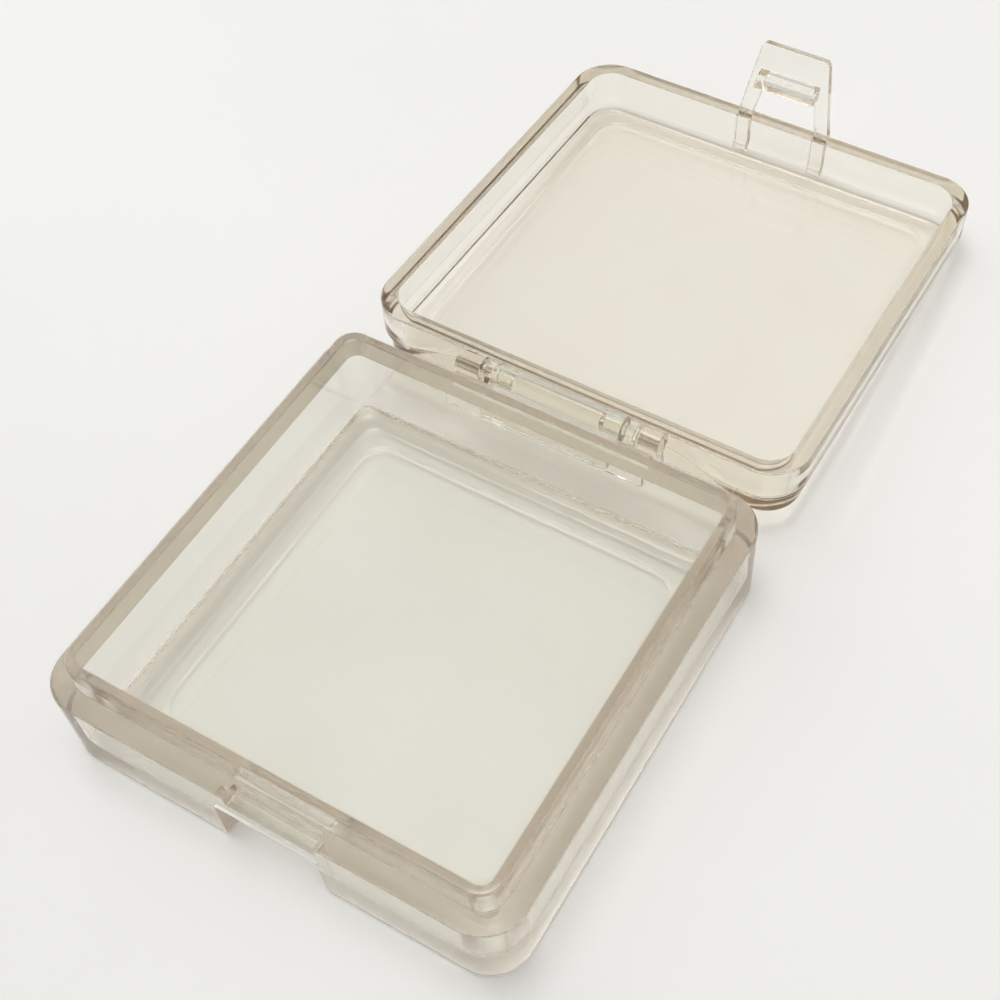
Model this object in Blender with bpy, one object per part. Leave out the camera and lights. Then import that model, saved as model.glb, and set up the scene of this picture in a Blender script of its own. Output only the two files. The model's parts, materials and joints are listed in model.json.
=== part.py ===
"""Hinged clear pick box, open: base tray, flipped-back lid and the lid's sprung latch tab.

Frame: +Z up, origin at the centre of the base's underside, hinge along X behind the base (+Y).
"""
import math

import bmesh
import bpy
from mathutils import Matrix, Vector

MM = 0.001

# Base tray
BASE_W = 54.4
BASE_CORNER = 4.7
TONGUE_CORNER = 2.4
CAVITY_CORNER = 1.3
FLOOR_CORNER = 3.0
LEDGE_Z = 10.7
TONGUE_Z = 14.2
LEDGE_W = 2.3
WALL_T = 3.4
FLOOR_T = 1.5
REAR = BASE_W / 2
FRONT = -BASE_W / 2

# Hinge
AXIS_Y = REAR + 2.075
AXIS_Z = 10.7
BARREL_R = 1.5
BARREL_HALF = 8.25
WEB_BOTTOM = 7.6
PAD_HALF = 12.5
PAD_T = 0.45
BORE_R = 0.8
BORE_DEPTH = 2.7
PIN_R = 0.7
LUG_IN = 9.8
LUG_OUT = 12.9
LUG_R = 1.45
ARM_END = 21.3

# Lid, measured from the hinge axis while it lies flat and open: u outward, w upward
LID_W = 55.0
LID_U = 1.775
LID_RIM_W = -0.23
LID_DEPTH = 7.5
LID_RIM_T = 1.97
LID_CORNER = 5.0
LID_INNER_CORNER = 3.2
LID_STEP_IN = 0.65
LID_PLATE_T = 1.45
LID_TILT = math.radians(3.07)

# Latch tab
LATCH_X = 0.3
TAB_ROOT_HALF = 6.3
TAB_TIP_HALF = 4.6
TAB_T = 1.05
TAB_LEN = 9.35
TAB_LEAN = math.radians(11.0)
TAB_GAP = 0.3
WINDOW_ROOT_HALF = 4.4
WINDOW_TOP_HALF = 3.2
WINDOW_TOP = 4.9
TAB_CORNER = 0.6
BARB_HALF = 4.15
BARB_CATCH = 4.1
BARB_TOP = 5.7
BARB_REACH = 1.15
RAIL_LEN = 6.4

# Catch on the base's front wall
CATCH_DEPTH = 1.9
CATCH_TOP_Z = 9.3
CATCH_BOTTOM_Z = 6.85
NOTCH_X = (-3.5, 6.9)
RECESS_X = (-5.6, 6.5)

CORNER_STEPS = 8
ROUND_STEPS = 24


def clear_scene():
    """Remove whatever objects the scene starts with."""
    for obj in list(bpy.data.objects):
        bpy.data.objects.remove(obj, do_unlink=True)


def clear_plastic(name, colour, alpha):
    """Principled material for one moulded piece."""
    mat = bpy.data.materials.new(name)
    mat.use_nodes = True
    bsdf = mat.node_tree.nodes["Principled BSDF"]
    bsdf.inputs["Base Color"].default_value = (*colour, 1.0)
    bsdf.inputs["Roughness"].default_value = 0.08
    bsdf.inputs["IOR"].default_value = 1.5
    bsdf.inputs["Alpha"].default_value = alpha
    return mat


def finish_mesh(name, bm, mat=None):
    """Turn a bmesh in millimetres into an object in metres with outward faces."""
    bmesh.ops.remove_doubles(bm, verts=bm.verts, dist=0.00005)
    bmesh.ops.recalc_face_normals(bm, faces=bm.faces)
    bmesh.ops.scale(bm, vec=(MM, MM, MM), verts=bm.verts)
    mesh = bpy.data.meshes.new(name)
    bm.to_mesh(mesh)
    bm.free()
    obj = bpy.data.objects.new(name, mesh)
    bpy.context.scene.collection.objects.link(obj)
    if mat is not None:
        mesh.materials.append(mat)
    return obj


def rounded_square(width, centre_y, inset, radius, z):
    """Points of a rounded square about X = 0, inset from its full width."""
    half = width / 2 - inset
    points = []
    for sx, sy, start in ((1, 1, 0), (-1, 1, 90), (-1, -1, 180), (1, -1, 270)):
        for i in range(CORNER_STEPS + 1):
            a = math.radians(start + 90 * i / CORNER_STEPS)
            x = sx * (half - radius) + radius * math.cos(a)
            y = centre_y + sy * (half - radius) + radius * math.sin(a)
            points.append(Vector((x, y, z)))
    return points


def loft(width, centre_y, rings):
    """Closed solid through (inset, z, corner radius) rings, capped at both ends."""
    bm = bmesh.new()
    loops = []
    for inset, z, radius in rings:
        ring = rounded_square(width, centre_y, inset, radius, z)
        loops.append([bm.verts.new(p) for p in ring])
    count = len(loops[0])
    for low, high in zip(loops, loops[1:]):
        for i in range(count):
            j = (i + 1) % count
            bm.faces.new((low[i], low[j], high[j], high[i]))
    bm.faces.new(list(reversed(loops[0])))
    bm.faces.new(loops[-1])
    return bm


def prism_x(name, profile, x0, x1):
    """Solid between two X planes with a (y, z) outline."""
    bm = bmesh.new()
    ends = [[bm.verts.new((x, y, z)) for y, z in profile] for x in (x0, x1)]
    count = len(profile)
    for i in range(count):
        j = (i + 1) % count
        bm.faces.new((ends[0][i], ends[0][j], ends[1][j], ends[1][i]))
    bm.faces.new(ends[0])
    bm.faces.new(ends[1])
    return finish_mesh(name, bm)


def prism_y(name, profile, y0, y1):
    """Solid between two Y planes with an (x, z) outline."""
    bm = bmesh.new()
    ends = [[bm.verts.new((x, y, z)) for x, z in profile] for y in (y0, y1)]
    count = len(profile)
    for i in range(count):
        j = (i + 1) % count
        bm.faces.new((ends[0][i], ends[0][j], ends[1][j], ends[1][i]))
    bm.faces.new(ends[0])
    bm.faces.new(ends[1])
    return finish_mesh(name, bm)


def box(name, x, y, z):
    """Axis-aligned box from three (low, high) pairs."""
    return prism_x(name, ((y[0], z[0]), (y[1], z[0]), (y[1], z[1]), (y[0], z[1])), x[0], x[1])


def circle(y, z, radius):
    """Outline of a round bar lying along X."""
    steps = [math.radians(360 * i / ROUND_STEPS) for i in range(ROUND_STEPS)]
    return [(y + radius * math.cos(a), z + radius * math.sin(a)) for a in steps]


def combine(target, tool, operation):
    """Apply one exact Boolean and drop its tool."""
    tool.hide_render = True
    tool.display_type = "WIRE"
    mod = target.modifiers.new(operation.lower(), "BOOLEAN")
    mod.operation = operation
    mod.solver = "EXACT"
    mod.object = tool
    graph = bpy.context.evaluated_depsgraph_get()
    mesh = bpy.data.meshes.new_from_object(target.evaluated_get(graph))
    target.modifiers.clear()
    target.data = mesh
    bpy.data.objects.remove(tool, do_unlink=True)


def shade(obj, angle=35.0):
    """Smooth shading that keeps edges sharper than the angle."""
    mesh = obj.data
    mesh.shade_smooth()
    bm = bmesh.new()
    bm.from_mesh(mesh)
    limit = math.radians(angle)
    for edge in bm.edges:
        edge.smooth = len(edge.link_faces) == 2 and edge.calc_face_angle(0.0) < limit
    bm.to_mesh(mesh)
    bm.free()


def set_origin(obj, point_mm):
    """Move the object's origin to a point without moving its mesh."""
    point = Vector(point_mm) * MM
    obj.data.transform(Matrix.Translation(-point))
    obj.location = point


def lay_open(obj):
    """Swing a piece modelled flat about the hinge into the lid's resting tilt."""
    shift = Matrix.Translation(Vector((0.0, AXIS_Y, AXIS_Z)) * MM)
    obj.data.transform(shift @ Matrix.Rotation(-LID_TILT, 4, "X"))


def make_base(mat):
    """Square tray with a ledge, an inner tongue, a hinge barrel and a latch catch."""
    rings = (
        (0.7, 0.0, BASE_CORNER - 0.6),
        (0.35, 0.15, BASE_CORNER - 0.4),
        (0.2, 0.5, BASE_CORNER - 0.2),
        (0.0, LEDGE_Z - 0.2, BASE_CORNER),
        (0.2, LEDGE_Z, BASE_CORNER - 0.2),
        (LEDGE_W, LEDGE_Z, TONGUE_CORNER),
        (LEDGE_W + 0.05, TONGUE_Z - 0.2, TONGUE_CORNER),
        (LEDGE_W + 0.25, TONGUE_Z, TONGUE_CORNER - 0.2),
        (WALL_T - 0.15, TONGUE_Z, CAVITY_CORNER + 0.15),
        (WALL_T, TONGUE_Z - 0.15, CAVITY_CORNER),
        (WALL_T + 0.2, 3.1, CAVITY_CORNER),
        (WALL_T + 0.35, 2.45, CAVITY_CORNER + 0.1),
        (WALL_T + 0.8, 1.9, CAVITY_CORNER + 0.5),
        (WALL_T + 1.8, FLOOR_T + 0.15, FLOOR_CORNER - 0.6),
        (WALL_T + 3.6, FLOOR_T + 0.12, FLOOR_CORNER),
        (WALL_T + 3.9, FLOOR_T, FLOOR_CORNER - 0.2),
    )
    base = finish_mesh("base_tray", loft(BASE_W, 0.0, rings), mat)

    pad = box("pad", (-PAD_HALF, PAD_HALF), (REAR - 0.6, REAR + PAD_T), (WEB_BOTTOM, LEDGE_Z - 0.12))
    combine(base, pad, "UNION")
    web_profile = (
        (REAR - 0.5, WEB_BOTTOM + 0.2),
        (REAR + 0.8, WEB_BOTTOM + 0.2),
        (AXIS_Y, AXIS_Z - BARREL_R + 0.3),
        (AXIS_Y, LEDGE_Z - 0.06),
        (REAR - 0.5, LEDGE_Z - 0.06),
    )
    web = prism_x("web", web_profile, -BARREL_HALF + 0.05, BARREL_HALF - 0.05)
    combine(base, web, "UNION")
    barrel = prism_x("barrel", circle(AXIS_Y, AXIS_Z, BARREL_R), -BARREL_HALF, BARREL_HALF)
    combine(base, barrel, "UNION")
    for side in (-1, 1):
        ends = sorted((side * (BARREL_HALF - BORE_DEPTH), side * (BARREL_HALF + 0.5)))
        bore = prism_x("bore", circle(AXIS_Y, AXIS_Z, BORE_R), ends[0], ends[1])
        combine(base, bore, "DIFFERENCE")

    front = (FRONT - 1.0, FRONT + CATCH_DEPTH)
    notch = box("notch", NOTCH_X, front, (CATCH_TOP_Z, LEDGE_Z + 0.8))
    combine(base, notch, "DIFFERENCE")
    recess = box("recess", RECESS_X, front, (-0.5, CATCH_BOTTOM_Z))
    combine(base, recess, "DIFFERENCE")
    shade(base)
    return base


def make_lid(mat):
    """Shallow square lid with hinge lugs, flared arms, pins and the latch's side rails."""
    mid = LID_U + LID_W / 2
    bottom = LID_RIM_W - LID_DEPTH
    inside = bottom + LID_PLATE_T
    rings = (
        (LID_STEP_IN + 0.5, bottom, LID_CORNER - 0.9),
        (LID_STEP_IN + 0.17, bottom + 0.12, LID_CORNER - 0.7),
        (LID_STEP_IN + 0.05, bottom + 0.4, LID_CORNER - 0.6),
        (LID_STEP_IN, LID_RIM_W - 5.3, LID_CORNER - 0.5),
        (0.05, LID_RIM_W - 4.5, LID_CORNER),
        (0.0, LID_RIM_W - 0.2, LID_CORNER),
        (0.2, LID_RIM_W, LID_CORNER - 0.2),
        (LID_RIM_T - 0.15, LID_RIM_W, LID_INNER_CORNER + 0.15),
        (LID_RIM_T, LID_RIM_W - 0.15, LID_INNER_CORNER),
        (LID_RIM_T + 0.15, inside + 1.0, LID_INNER_CORNER),
        (LID_RIM_T + 0.4, inside + 0.4, LID_INNER_CORNER + 0.1),
        (LID_RIM_T + 1.0, inside + 0.12, LID_INNER_CORNER + 0.2),
        (LID_RIM_T + 2.2, inside + 0.08, LID_INNER_CORNER - 0.2),
        (LID_RIM_T + 2.5, inside, LID_INNER_CORNER - 0.4),
    )
    lid = finish_mesh("lid_shell", loft(LID_W, mid, rings), mat)

    lug_block = ((0.0, -3.2), (LID_U + 0.6, -3.2), (LID_U + 0.6, -0.4), (0.0, -0.4))
    arm_edge = ((0.0, -0.45), (1.6, -0.7), (3.6, -1.55), (5.6, -2.65), (7.4, -3.7))
    for side in (-1, 1):
        inner, outer = sorted((side * LUG_IN, side * LUG_OUT))
        combine(lid, prism_x("lug", circle(0.0, 0.0, LUG_R), inner, outer), "UNION")
        combine(lid, prism_x("arm", lug_block, inner + 0.04, outer - 0.04), "UNION")
        flare = [(side * (LUG_OUT - 0.3), -4.3)]
        flare += [(side * (LUG_OUT - 0.3), -0.45)]
        flare += [(side * (LUG_OUT + dx), dz) for dx, dz in arm_edge]
        flare += [(side * ARM_END, -4.3)]
        combine(lid, prism_y("flare", flare, 0.6, LID_U + 0.5), "UNION")
        pin_ends = sorted((side * (BARREL_HALF - BORE_DEPTH + 0.3), side * (LUG_IN + 0.6)))
        combine(lid, prism_x("pin", circle(0.0, 0.0, PIN_R), pin_ends[0], pin_ends[1]), "UNION")

    wall = LID_U + LID_W
    for side in (-1, 1):
        rail_x = sorted((LATCH_X + side * WINDOW_ROOT_HALF, LATCH_X + side * TAB_ROOT_HALF))
        rail_profile = (
            (wall - 0.5, LID_RIM_W - 0.3),
            (wall - 0.5, LID_RIM_W - RAIL_LEN),
            (wall + 0.1, LID_RIM_W - RAIL_LEN),
            (wall + TAB_T, LID_RIM_W - RAIL_LEN + 1.0),
            (wall + TAB_T, LID_RIM_W - 0.05),
            (wall - 0.2, LID_RIM_W - 0.05),
        )
        combine(lid, prism_x("rail", rail_profile, rail_x[0], rail_x[1]), "UNION")
    lay_open(lid)
    shade(lid)
    return lid


def make_latch(mat):
    """Tapered hoop that leans outward, with a wedge-shaped barb facing the box."""
    root = LID_RIM_W + TAB_GAP
    wall = LID_U + LID_W
    taper = (TAB_ROOT_HALF - TAB_TIP_HALF) / TAB_LEN
    corner = TAB_CORNER
    outline = [(-WINDOW_ROOT_HALF, 0.0), (-TAB_ROOT_HALF, 0.0)]
    outline += [(-TAB_TIP_HALF - taper * corner, TAB_LEN - corner)]
    for i in range(1, 6):
        a = math.radians(180 - 90 * i / 5)
        x = -TAB_TIP_HALF + corner + corner * math.cos(a)
        outline.append((x, TAB_LEN - corner + corner * math.sin(a)))
    right = [(-x, s) for x, s in reversed(outline[3:] + outline[2:3])]
    right = sorted(right, key=lambda p: p[0])
    outline += right
    outline += [(TAB_ROOT_HALF, 0.0), (WINDOW_ROOT_HALF, 0.0)]
    rise = WINDOW_TOP / math.cos(TAB_LEAN) - root
    outline += [(WINDOW_TOP_HALF, rise), (-WINDOW_TOP_HALF, rise)]
    tab = prism_y("latch_tab", outline, 0.0, TAB_T)
    tab.data.materials.append(mat)
    lean = Matrix.Rotation(-TAB_LEAN, 4, "X")
    place = Matrix.Translation(Vector((LATCH_X, wall, root)) * MM)
    tab.data.transform(place @ lean)

    lean_at = math.tan(TAB_LEAN)
    barb_profile = (
        (wall - BARB_REACH, BARB_CATCH),
        (wall + lean_at * BARB_CATCH + 0.5, BARB_CATCH),
        (wall + lean_at * BARB_TOP + 0.5, BARB_TOP),
        (wall - 0.35, BARB_TOP),
        (wall - 0.6, BARB_TOP - 0.3),
    )
    barb = prism_x("barb", barb_profile, LATCH_X - BARB_HALF, LATCH_X + BARB_HALF)
    combine(tab, barb, "UNION")
    lay_open(tab)
    shade(tab)
    return tab


def main():
    """Build the three nodes and put the moving ones' origins on their axes."""
    clear_scene()
    make_base(clear_plastic("base_plastic", (0.86, 0.82, 0.75), 0.45))
    lid = make_lid(clear_plastic("lid_plastic", (0.87, 0.83, 0.76), 0.45))
    latch = make_latch(clear_plastic("latch_plastic", (0.86, 0.82, 0.74), 0.5))
    set_origin(lid, (0.0, AXIS_Y, AXIS_Z))
    flex = Vector((0.0, LID_U + LID_W + TAB_T / 2, LID_RIM_W + TAB_GAP))
    flex = Matrix.Rotation(-LID_TILT, 4, "X") @ flex
    set_origin(latch, (LATCH_X, AXIS_Y + flex.y, AXIS_Z + flex.z))


main()
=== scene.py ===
"""Open clear pick box on a pale table: fine clear-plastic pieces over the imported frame."""
import json
import math

import bmesh
import bpy
from mathutils import Euler, Matrix, Vector


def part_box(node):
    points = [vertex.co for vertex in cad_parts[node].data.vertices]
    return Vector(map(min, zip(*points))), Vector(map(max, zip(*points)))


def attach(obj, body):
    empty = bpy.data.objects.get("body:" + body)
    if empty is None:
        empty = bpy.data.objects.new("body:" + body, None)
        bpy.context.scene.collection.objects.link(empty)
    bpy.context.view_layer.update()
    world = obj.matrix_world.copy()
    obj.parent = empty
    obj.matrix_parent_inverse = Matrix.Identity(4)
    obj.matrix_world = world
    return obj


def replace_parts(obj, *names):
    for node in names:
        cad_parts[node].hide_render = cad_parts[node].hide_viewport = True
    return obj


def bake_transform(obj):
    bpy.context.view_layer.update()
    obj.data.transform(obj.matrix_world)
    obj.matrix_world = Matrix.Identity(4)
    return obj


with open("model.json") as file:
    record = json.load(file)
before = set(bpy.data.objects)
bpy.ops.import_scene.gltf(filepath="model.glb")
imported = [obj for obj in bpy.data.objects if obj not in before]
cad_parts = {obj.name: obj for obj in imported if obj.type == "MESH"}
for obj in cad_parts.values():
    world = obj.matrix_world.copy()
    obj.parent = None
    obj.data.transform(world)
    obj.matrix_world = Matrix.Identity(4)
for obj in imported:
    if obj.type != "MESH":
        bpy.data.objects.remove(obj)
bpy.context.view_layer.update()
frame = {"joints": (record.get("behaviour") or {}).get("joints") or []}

MM = 0.001
JOINTS = {j["name"]: j for j in frame["joints"]}
BASE_LO, BASE_HI = (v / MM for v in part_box("base_tray"))
LID_LO, LID_HI = (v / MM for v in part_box("lid_shell"))
HINGE = Vector(JOINTS["lid_hinge"]["pos_m"]) / MM

# Base tray, mm
BASE_W = BASE_HI.x - BASE_LO.x
FRONT = BASE_LO.y
REAR = FRONT + BASE_W
LEDGE_Z = HINGE.z
TONGUE_Z = BASE_HI.z
LEDGE_W = 2.3
WALL_T = 3.4
FLOOR_T = 1.5
BARREL_R = 1.5
BARREL_HALF = 8.25
WEB_BOTTOM = 7.6
PAD_HALF = 12.5
PAD_T = 0.45
BORE_R = 0.8
BORE_DEPTH = 2.7

# Catch on the base's front wall, mm
CATCH_DEPTH = 1.9
CATCH_TOP_Z = 9.3
CATCH_BOTTOM_Z = 6.85
NOTCH_X = (-3.5, 6.9)
RECESS_X = (-5.6, 6.5)

# Lid, mm from the hinge axis while flat and open: u outward, w upward
LID_TILT = math.radians(3.07)
LID_W = LID_HI.x - LID_LO.x
LID_U = 1.775
RIM_W = -0.23
LID_DEPTH = 7.5
RIM_T = 1.97
PLATE_T = 1.45
STEP_IN = 0.65
LUG_IN = 9.8
LUG_OUT = 12.9
LUG_R = 1.45
PIN_R = 0.7
ARM_END = 21.3

# Latch hoop, mm
LATCH_X = 0.3
TAB_ROOT_HALF = 6.3
TAB_TIP_HALF = 4.6
TAB_T = 1.05
TAB_LEN = 9.35
TAB_LEAN = math.radians(11.0)
WINDOW_ROOT_HALF = 4.4
WINDOW_TOP_HALF = 3.2
WINDOW_TOP = 4.9
TAB_CORNER = 0.6
BARB_HALF = 4.15
BARB_CATCH = 4.1
BARB_TOP = 5.7
BARB_REACH = 1.15
RAIL_LEN = 6.4

# Mesh fineness and small roundings, mm
CORNER_STEPS = 16
FILLET_STEPS = 4
ROUND_STEPS = 48
EDGE = 0.12
CATCH_EDGE = 0.3

# Plastic: the underside is rubbed dull up to RUB_FULL and less so up to RUB_END, mm
PLASTIC_IOR = 1.5
SCUFF_ROUGHNESS = (0.07, 0.12)
RUB_FULL = 0.6
RUB_END = 1.1

# Table and room
TABLE_HALF = 1500.0
TABLE_GAP = 0.05
ROOM_LIGHT = 0.80

# View, mm and degrees
VIEW_ELEVATION = 53.0
VIEW_AZIMUTH = 32.185
VIEW_ROLL = -2.846
VIEW_DISTANCE = 187.34
VIEW_AIM_X = 2.22
VIEW_AIM_PAST_HINGE = 0.22
VIEW_LENS = 58.46
VIEW_SHIFT = (-0.0807, -0.0346)


# ---------------------------------------------------------------- meshes

def to_object(name, bm):
    """Object in metres from a bmesh in millimetres, faces outward."""
    bmesh.ops.remove_doubles(bm, verts=bm.verts, dist=0.0005)
    bmesh.ops.recalc_face_normals(bm, faces=bm.faces)
    bmesh.ops.scale(bm, vec=(MM, MM, MM), verts=bm.verts)
    mesh = bpy.data.meshes.new(name)
    bm.to_mesh(mesh)
    bm.free()
    obj = bpy.data.objects.new(name, mesh)
    bpy.context.scene.collection.objects.link(obj)
    return obj


def fillet_path(points):
    """Rings (inset, z, corner) with each (inset, z, corner, cut) corner of the profile rounded off."""
    rings = []
    last = len(points) - 1
    for i, point in enumerate(points):
        here = Vector(point[:3])
        cut = point[3]
        if i in (0, last) or cut <= 0.0:
            rings.append(tuple(here))
            continue
        before = Vector(points[i - 1][:3])
        after = Vector(points[i + 1][:3])
        a = here.lerp(before, cut / max((before - here).xy.length, cut * 1.02))
        b = here.lerp(after, cut / max((after - here).xy.length, cut * 1.02))
        for k in range(FILLET_STEPS + 1):
            t = k / FILLET_STEPS
            rings.append(tuple(a.lerp(here, t).lerp(here.lerp(b, t), t)))
    return rings


def loft(name, width, centre_y, rings):
    """Closed rounded-square solid through (inset, z, corner radius) rings."""
    bm = bmesh.new()
    loops = []
    for inset, z, radius in rings:
        half = width / 2 - inset
        loop = []
        for sx, sy, first in ((1, 1, 0), (-1, 1, 90), (-1, -1, 180), (1, -1, 270)):
            for k in range(CORNER_STEPS + 1):
                a = math.radians(first + 90 * k / CORNER_STEPS)
                x = sx * (half - radius) + radius * math.cos(a)
                y = centre_y + sy * (half - radius) + radius * math.sin(a)
                loop.append(bm.verts.new((x, y, z)))
        loops.append(loop)
    count = len(loops[0])
    for low, high in zip(loops, loops[1:]):
        for k in range(count):
            j = (k + 1) % count
            bm.faces.new((low[k], low[j], high[j], high[k]))
    bm.faces.new(list(reversed(loops[0])))
    bm.faces.new(loops[-1])
    return to_object(name, bm)


def apply_modifiers(obj):
    """Fix an object's modifiers into its mesh."""
    graph = bpy.context.evaluated_depsgraph_get()
    mesh = bpy.data.meshes.new_from_object(obj.evaluated_get(graph))
    obj.modifiers.clear()
    obj.data = mesh


def prism(outline, ends, axis, edge=0.0):
    """Solid drawn out from a flat outline, edges rounded: along X from (y, z), or along Y from (x, z)."""
    bm = bmesh.new()
    place = (lambda p, t: (t, p[0], p[1])) if axis == "X" else (lambda p, t: (p[0], t, p[1]))
    sides = [[bm.verts.new(place(p, t)) for p in outline] for t in ends]
    count = len(outline)
    for k in range(count):
        j = (k + 1) % count
        bm.faces.new((sides[0][k], sides[0][j], sides[1][j], sides[1][k]))
    bm.faces.new(sides[0])
    bm.faces.new(sides[1])
    obj = to_object("prism", bm)
    if edge > 0.0:
        bevel = obj.modifiers.new("edges", "BEVEL")
        bevel.width = edge * MM
        bevel.segments = 2
        bevel.limit_method = "ANGLE"
        bevel.angle_limit = math.radians(25.0)
        apply_modifiers(obj)
    return obj


def block(x, y, z, edge=0.0):
    """Box from three (low, high) pairs."""
    return prism(((y[0], z[0]), (y[1], z[0]), (y[1], z[1]), (y[0], z[1])), x, "X", edge)


def disc(y, z, radius):
    """Outline of a round bar lying along X."""
    angles = [math.radians(360 * k / ROUND_STEPS) for k in range(ROUND_STEPS)]
    return [(y + radius * math.cos(a), z + radius * math.sin(a)) for a in angles]


def combine(target, tool, operation):
    """One exact Boolean; the tool goes away."""
    mod = target.modifiers.new("join", "BOOLEAN")
    mod.operation = operation
    mod.solver = "EXACT"
    mod.object = tool
    apply_modifiers(target)
    bpy.data.objects.remove(tool, do_unlink=True)


def soften(obj):
    """Shade a finished piece smooth, with its hard edges kept and its flats flat."""
    obj.data.shade_smooth()
    bm = bmesh.new()
    bm.from_mesh(obj.data)
    for edge in bm.edges:
        edge.smooth = len(edge.link_faces) == 2 and edge.calc_face_angle(0.0) < math.radians(44.0)
    bm.to_mesh(obj.data)
    bm.free()
    weighted = obj.modifiers.new("normals", "WEIGHTED_NORMAL")
    weighted.keep_sharp = True
    weighted.weight = 80
    apply_modifiers(obj)


def build_base():
    """Tray with ledge, tongue, floor contours, hinge barrel and latch catch."""
    rings = fillet_path((
        (2.5, 0.0, 2.6, 0.0),
        (0.35, 0.0, 4.35, 0.35),
        (0.2, 0.6, 4.5, 0.2),
        (0.0, LEDGE_Z, 4.7, 0.2),
        (LEDGE_W, LEDGE_Z, 2.4, 0.12),
        (LEDGE_W + 0.06, TONGUE_Z, 2.34, 0.22),
        (WALL_T, TONGUE_Z, 1.3, 0.14),
        (WALL_T + 0.2, 2.3, 1.3, 0.7),
        (WALL_T + 1.15, FLOOR_T + 0.34, 2.2, 0.4),
        (WALL_T + 1.75, FLOOR_T + 0.3, 3.0, 0.09),
        (WALL_T + 1.95, FLOOR_T + 0.17, 3.0, 0.09),
        (WALL_T + 3.6, FLOOR_T + 0.14, 3.2, 0.11),
        (WALL_T + 3.86, FLOOR_T, 3.0, 0.11),
        (WALL_T + 6.0, FLOOR_T, 2.0, 0.0),
    ))
    base = loft("base_clear", BASE_W, (FRONT + REAR) / 2, rings)
    pad = block((-PAD_HALF, PAD_HALF), (REAR - 0.6, REAR + PAD_T), (WEB_BOTTOM, LEDGE_Z - 0.12))
    combine(base, pad, "UNION")
    web = ((REAR - 0.5, WEB_BOTTOM + 0.2), (REAR + 0.8, WEB_BOTTOM + 0.2),
           (HINGE.y, HINGE.z - BARREL_R + 0.3), (HINGE.y, LEDGE_Z - 0.06), (REAR - 0.5, LEDGE_Z - 0.06))
    combine(base, prism(web, (-BARREL_HALF + 0.16, BARREL_HALF - 0.16), "X"), "UNION")
    combine(base, prism(disc(HINGE.y, HINGE.z, BARREL_R), (-BARREL_HALF, BARREL_HALF), "X", EDGE), "UNION")
    for side in (-1, 1):
        ends = sorted((side * (BARREL_HALF - BORE_DEPTH), side * (BARREL_HALF + 0.5)))
        combine(base, prism(disc(HINGE.y, HINGE.z, BORE_R), ends, "X"), "DIFFERENCE")
    front = (FRONT - 1.0, FRONT + CATCH_DEPTH)
    combine(base, block(NOTCH_X, front, (CATCH_TOP_Z, LEDGE_Z + 0.8), CATCH_EDGE), "DIFFERENCE")
    combine(base, block(RECESS_X, front, (-0.5, CATCH_BOTTOM_Z), CATCH_EDGE), "DIFFERENCE")
    soften(base)
    return base


def hoop_outline(root_s):
    """Tapered latch outline with a rounded tip and its window, in (x, distance along the tab)."""
    taper = (TAB_ROOT_HALF - TAB_TIP_HALF) / TAB_LEN
    corner = TAB_CORNER
    left = [(-WINDOW_ROOT_HALF, root_s), (-TAB_ROOT_HALF, root_s),
            (-TAB_TIP_HALF - taper * corner, TAB_LEN - corner)]
    for k in range(1, 9):
        a = math.radians(180 - 90 * k / 8)
        left.append((-TAB_TIP_HALF + corner * (1 + math.cos(a)), TAB_LEN - corner * (1 - math.sin(a))))
    right = [(-x, s) for x, s in reversed(left)]
    rise = WINDOW_TOP / math.cos(TAB_LEAN)
    return left + right + [(WINDOW_TOP_HALF, rise), (-WINDOW_TOP_HALF, rise)]


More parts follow.
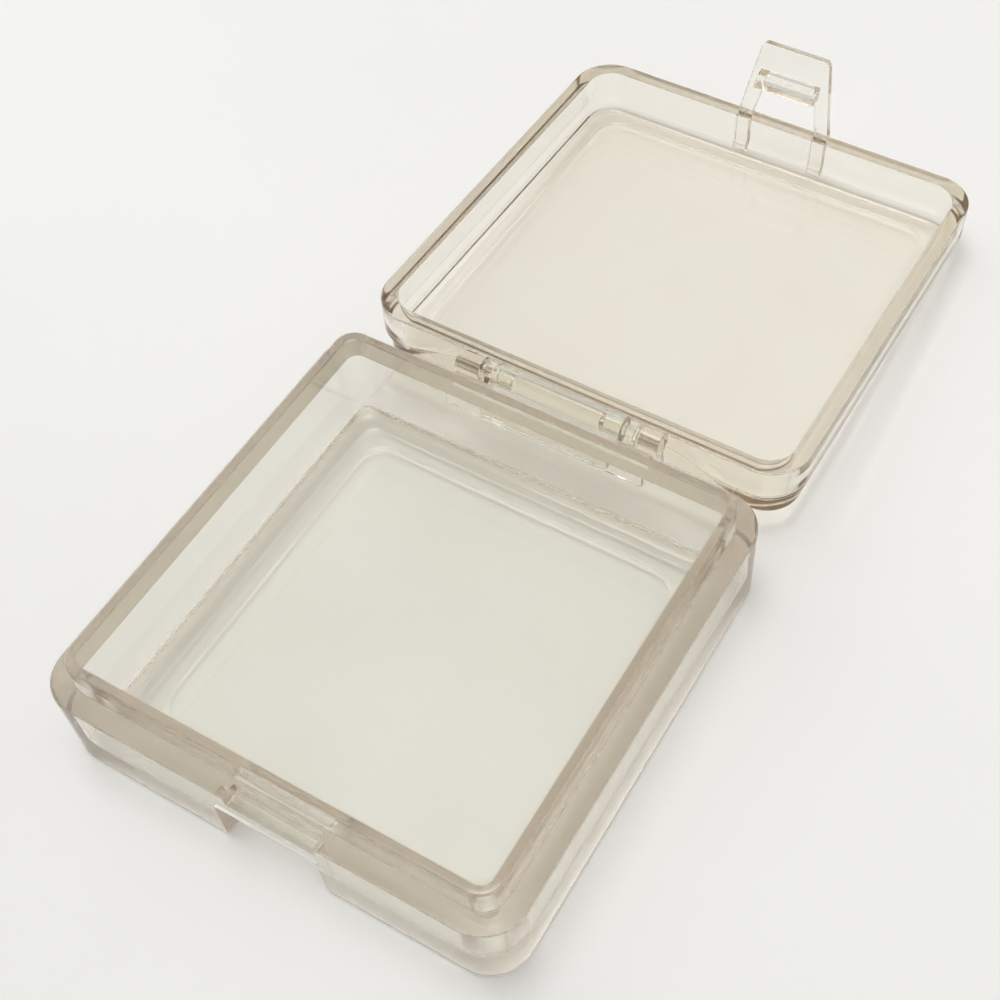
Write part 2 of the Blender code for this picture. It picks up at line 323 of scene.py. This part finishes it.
def build_lid():
    """Lid with lugs, flared arms, pins and the latch hoop, in one moulding."""
    bottom = RIM_W - LID_DEPTH
    inside = bottom + PLATE_T
    rings = fillet_path((
        (3.5, bottom, 2.6, 0.0),
        (STEP_IN + 0.1, bottom, 4.2, 0.45),
        (STEP_IN, RIM_W - 5.35, 4.5, 0.12),
        (0.05, RIM_W - 4.5, 5.0, 0.15),
        (0.0, RIM_W, 5.0, 0.22),
        (RIM_T, RIM_W, 3.2, 0.18),
        (RIM_T + 0.15, inside + 0.3, 3.2, 0.6),
        (RIM_T + 1.1, inside + 0.14, 3.3, 0.3),
        (RIM_T + 2.2, inside + 0.12, 3.3, 0.1),
        (RIM_T + 2.44, inside, 3.1, 0.1),
        (RIM_T + 4.5, inside, 2.2, 0.0),
    ))
    lid = loft("lid_clear", LID_W, LID_U + LID_W / 2, rings)
    lug_block = ((0.0, -3.2), (LID_U + 0.6, -3.2), (LID_U + 0.6, -0.62), (0.0, -0.62))
    arm_edge = ((0.0, -0.72), (1.6, -0.9), (3.6, -1.6), (5.6, -2.65), (7.4, -3.7))
    for side in (-1, 1):
        inner, outer = sorted((side * LUG_IN, side * LUG_OUT))
        combine(lid, prism(disc(0.0, 0.0, LUG_R), (inner, outer), "X", EDGE), "UNION")
        combine(lid, prism(lug_block, (inner + 0.15, outer - 0.15), "X"), "UNION")
        flare = [(side * (LUG_OUT - 0.3), -4.3), (side * (LUG_OUT - 0.3), -0.72)]
        flare += [(side * (LUG_OUT + dx), dz) for dx, dz in arm_edge]
        flare += [(side * ARM_END, -4.0), (side * ARM_END, -4.3)]
        combine(lid, prism(flare, (0.6, LID_U + 0.5), "Y", EDGE), "UNION")
        pin = sorted((side * (BARREL_HALF - BORE_DEPTH + 0.3), side * (LUG_IN + 0.6)))
        combine(lid, prism(disc(0.0, 0.0, PIN_R), pin, "X", EDGE), "UNION")

    wall = LID_U + LID_W
    for side in (-1, 1):
        ends = sorted((LATCH_X + side * WINDOW_ROOT_HALF, LATCH_X + side * TAB_ROOT_HALF))
        rail = ((wall - 0.5, RIM_W - 0.3), (wall - 0.5, RIM_W - RAIL_LEN), (wall + 0.1, RIM_W - RAIL_LEN),
                (wall + TAB_T, RIM_W - RAIL_LEN + 1.0), (wall + TAB_T, RIM_W), (wall - 0.2, RIM_W - 0.05))
        combine(lid, prism(rail, ends, "X", EDGE), "UNION")
    hoop = prism(hoop_outline(RIM_W - 0.35), (0.0, TAB_T), "Y", EDGE)
    root = Matrix.Translation(Vector((LATCH_X, wall, 0.0)) * MM)
    hoop.data.transform(root @ Matrix.Rotation(-TAB_LEAN, 4, "X"))
    lean = math.tan(TAB_LEAN)
    barb = ((wall - BARB_REACH, BARB_CATCH), (wall + lean * BARB_CATCH + 0.5, BARB_CATCH),
            (wall + lean * BARB_TOP + 0.5, BARB_TOP), (wall - 0.35, BARB_TOP), (wall - 0.6, BARB_TOP - 0.3))
    combine(hoop, prism(barb, (LATCH_X - BARB_HALF, LATCH_X + BARB_HALF), "X", EDGE), "UNION")
    combine(lid, hoop, "UNION")
    shift = Matrix.Translation(Vector((0.0, HINGE.y, HINGE.z)) * MM)
    lid.data.transform(shift @ Matrix.Rotation(-LID_TILT, 4, "X"))
    soften(lid)
    return lid


# ---------------------------------------------------------------- materials

def node(tree, kind, **settings):
    """New shader node with its sockets or properties set by name."""
    n = tree.nodes.new(kind)
    for key, value in settings.items():
        if key in n.inputs:
            n.inputs[key].default_value = value
        else:
            setattr(n, key, value)
    return n


def noise(tree, coord, scale, detail, roughness=0.5):
    """Noise over the object's own space."""
    n = node(tree, "ShaderNodeTexNoise", Scale=scale, Detail=detail, Roughness=roughness)
    tree.links.new(coord.outputs["Object"], n.inputs["Vector"])
    return n.outputs["Fac"]


def ramped(tree, value, stops):
    """Colour that follows a value between two (position, colour) stops."""
    ramp = node(tree, "ShaderNodeValToRGB")
    for element, (position, colour) in zip(ramp.color_ramp.elements, stops):
        element.position = position
        element.color = (*colour, 1.0)
    tree.links.new(value, ramp.inputs["Fac"])
    return ramp.outputs["Color"]


def ranged(tree, value, span, reach, **settings):
    """Value moved from one span to another, held at the ends."""
    n = node(tree, "ShaderNodeMapRange", **settings)
    n.inputs["From Min"].default_value, n.inputs["From Max"].default_value = span
    n.inputs["To Min"].default_value, n.inputs["To Max"].default_value = reach
    tree.links.new(value, n.inputs["Value"])
    return n.outputs["Result"]


def along(tree, coord, axis):
    """One coordinate in the object's own space."""
    split = node(tree, "ShaderNodeSeparateXYZ")
    tree.links.new(coord.outputs["Object"], split.inputs["Vector"])
    return split.outputs[axis]


def bumped(tree, height, bsdf, strength, depth):
    """Surface relief from a height value."""
    bump = node(tree, "ShaderNodeBump", Strength=strength, Distance=depth)
    tree.links.new(height, bump.inputs["Height"])
    tree.links.new(bump.outputs["Normal"], bsdf.inputs["Normal"])


def new_material(name):
    """Material with its node tree, Principled shader and coordinate node."""
    mat = bpy.data.materials.new(name)
    mat.use_nodes = True
    tree = mat.node_tree
    return mat, tree, tree.nodes["Principled BSDF"], node(tree, "ShaderNodeTexCoord")


def clear_plastic(name, low, high, tint, density, rubbed=0.0):
    """Clear moulded plastic: faint tint and scuffs, warm absorption inside, and a foot rubbed dull."""
    mat, tree, bsdf, coord = new_material(name)
    link = tree.links.new
    bsdf.inputs["Transmission Weight"].default_value = 1.0
    bsdf.inputs["IOR"].default_value = PLASTIC_IOR
    cloud = noise(tree, coord, 60.0, 4.0, 0.6)
    link(ramped(tree, cloud, ((0.35, low), (0.65, high))), bsdf.inputs["Base Color"])

    scuffs = ranged(tree, noise(tree, coord, 220.0, 6.0, 0.7), (0.45, 0.75), SCUFF_ROUGHNESS)
    worn = ranged(tree, along(tree, coord, "Z"), (RUB_END * MM, RUB_FULL * MM), (0.0, rubbed))
    total = node(tree, "ShaderNodeMath", operation="ADD")
    link(scuffs, total.inputs[0])
    link(worn, total.inputs[1])
    link(total.outputs["Value"], bsdf.inputs["Roughness"])
    bumped(tree, noise(tree, coord, 45.0, 2.0), bsdf, 0.05, 0.0004)

    inside = node(tree, "ShaderNodeVolumeAbsorption", Color=(*tint, 1.0), Density=density)
    link(inside.outputs["Volume"], tree.nodes["Material Output"].inputs["Volume"])
    return mat


def table_top():
    """White tabletop: faint mottling, a fine grain and painted shade that darkens it slowly toward the
    front.
    """
    mat, tree, bsdf, coord = new_material("table_white")
    link = tree.links.new
    cloud = noise(tree, coord, 9.0, 5.0, 0.6)
    white = ramped(tree, cloud, ((0.3, (0.86, 0.855, 0.835)), (0.7, (0.89, 0.885, 0.87))))
    # Painted shade: the white is scaled down to 0.93 toward the front, standing in for light that falls off
    # there.
    depth = along(tree, coord, "Y")
    painted_shade_factor = ranged(tree, depth, (-0.07, 0.05), (0.93, 1.0), interpolation_type="SMOOTHSTEP")
    white_with_painted_shade = node(tree, "ShaderNodeVectorMath", operation="SCALE")
    link(white, white_with_painted_shade.inputs[0])
    link(painted_shade_factor, white_with_painted_shade.inputs["Scale"])
    link(white_with_painted_shade.outputs["Vector"], bsdf.inputs["Base Color"])
    bsdf.inputs["Roughness"].default_value = 0.55
    bsdf.inputs["Specular IOR Level"].default_value = 0.3
    bumped(tree, noise(tree, coord, 900.0, 3.0), bsdf, 0.08, 0.0002)
    return mat


def dress(obj, mat):
    """Give every face of a piece the one material."""
    obj.data.materials.clear()
    obj.data.materials.append(mat)
    for face in obj.data.polygons:
        face.material_index = 0


# ---------------------------------------------------------------- pieces

base = build_base()
dress(base, clear_plastic("base_plastic", (0.96, 0.972, 0.937), (0.98, 0.992, 0.962),
                         (0.42, 0.225, 0.014), 33.0, rubbed=0.3))
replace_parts(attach(base, "base"), "base_tray")

lid = build_lid()
dress(lid, clear_plastic("lid_plastic", (0.99, 0.98, 0.942), (1.0, 0.995, 0.962),
                        (0.5, 0.32, 0.03), 38.0))
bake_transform(lid)
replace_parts(lid, "lid_shell", "latch_tab")

# ---------------------------------------------------------------- table, light, camera

bm = bmesh.new()
bmesh.ops.create_grid(bm, x_segments=1, y_segments=1, size=TABLE_HALF)
table = to_object("table", bm)
table.location.z = -TABLE_GAP * MM
table.data.materials.append(table_top())

scene = bpy.context.scene
world = bpy.data.worlds.new("room")
scene.world = world
world.use_nodes = True
sky_tree = world.node_tree
sky = sky_tree.nodes["Background"]
direction = node(sky_tree, "ShaderNodeTexCoord").outputs["Generated"]
split = node(sky_tree, "ShaderNodeSeparateXYZ")
sky_tree.links.new(direction, split.inputs["Vector"])


def glow(azimuth, elevation, radius, edge, strength, before):
    """Adds a soft round light to the room, seen from the object in one direction."""
    a, e = math.radians(azimuth), math.radians(elevation)
    toward = Vector((math.sin(a) * math.cos(e), -math.cos(a) * math.cos(e), math.sin(e)))
    dot = node(sky_tree, "ShaderNodeVectorMath", operation="DOT_PRODUCT")
    sky_tree.links.new(direction, dot.inputs[0])
    dot.inputs[1].default_value = toward
    span = (math.cos(math.radians(radius + edge)), math.cos(math.radians(radius)))
    mask = ranged(sky_tree, dot.outputs["Value"], span, (0.0, strength), interpolation_type="SMOOTHSTEP")
    add = node(sky_tree, "ShaderNodeVectorMath", operation="ADD")
    sky_tree.links.new(before, add.inputs[0])
    sky_tree.links.new(mask, add.inputs[1])
    return add.outputs["Vector"]


light = ramped(sky_tree, split.outputs["Z"], ((0.0, (0.74, 0.73, 0.70)), (0.9, (0.88, 0.88, 0.88))))
light = glow(247.0, 82.0, 12.0, 3.5, 5.5, light)
light = glow(250.0, 35.0, 20.0, 8.0, 1.2, light)
sky_tree.links.new(light, sky.inputs["Color"])
sky.inputs["Strength"].default_value = ROOM_LIGHT

cam = bpy.data.cameras.new("view")
cam.sensor_width = 36.0
cam.lens = VIEW_LENS
cam.shift_x, cam.shift_y = VIEW_SHIFT
cam.clip_start = 0.01
camera = bpy.data.objects.new("view", cam)
scene.collection.objects.link(camera)
turn = Euler((math.radians(90.0 - VIEW_ELEVATION), 0.0, math.radians(VIEW_AZIMUTH)), "XYZ").to_matrix()
aim = Vector((VIEW_AIM_X, HINGE.y + VIEW_AIM_PAST_HINGE, 0.0)) * MM
back = Matrix.Translation((0, 0, VIEW_DISTANCE * MM)) @ Matrix.Rotation(math.radians(VIEW_ROLL), 4, "Z")
camera.matrix_world = Matrix.Translation(aim) @ turn.to_4x4() @ back
scene.camera = camera

scene.view_settings.view_transform = "Standard"
scene.cycles.max_bounces = 128
scene.cycles.transmission_bounces = 128
scene.cycles.glossy_bounces = 64
scene.cycles.diffuse_bounces = 8
scene.cycles.blur_glossy = 0.0
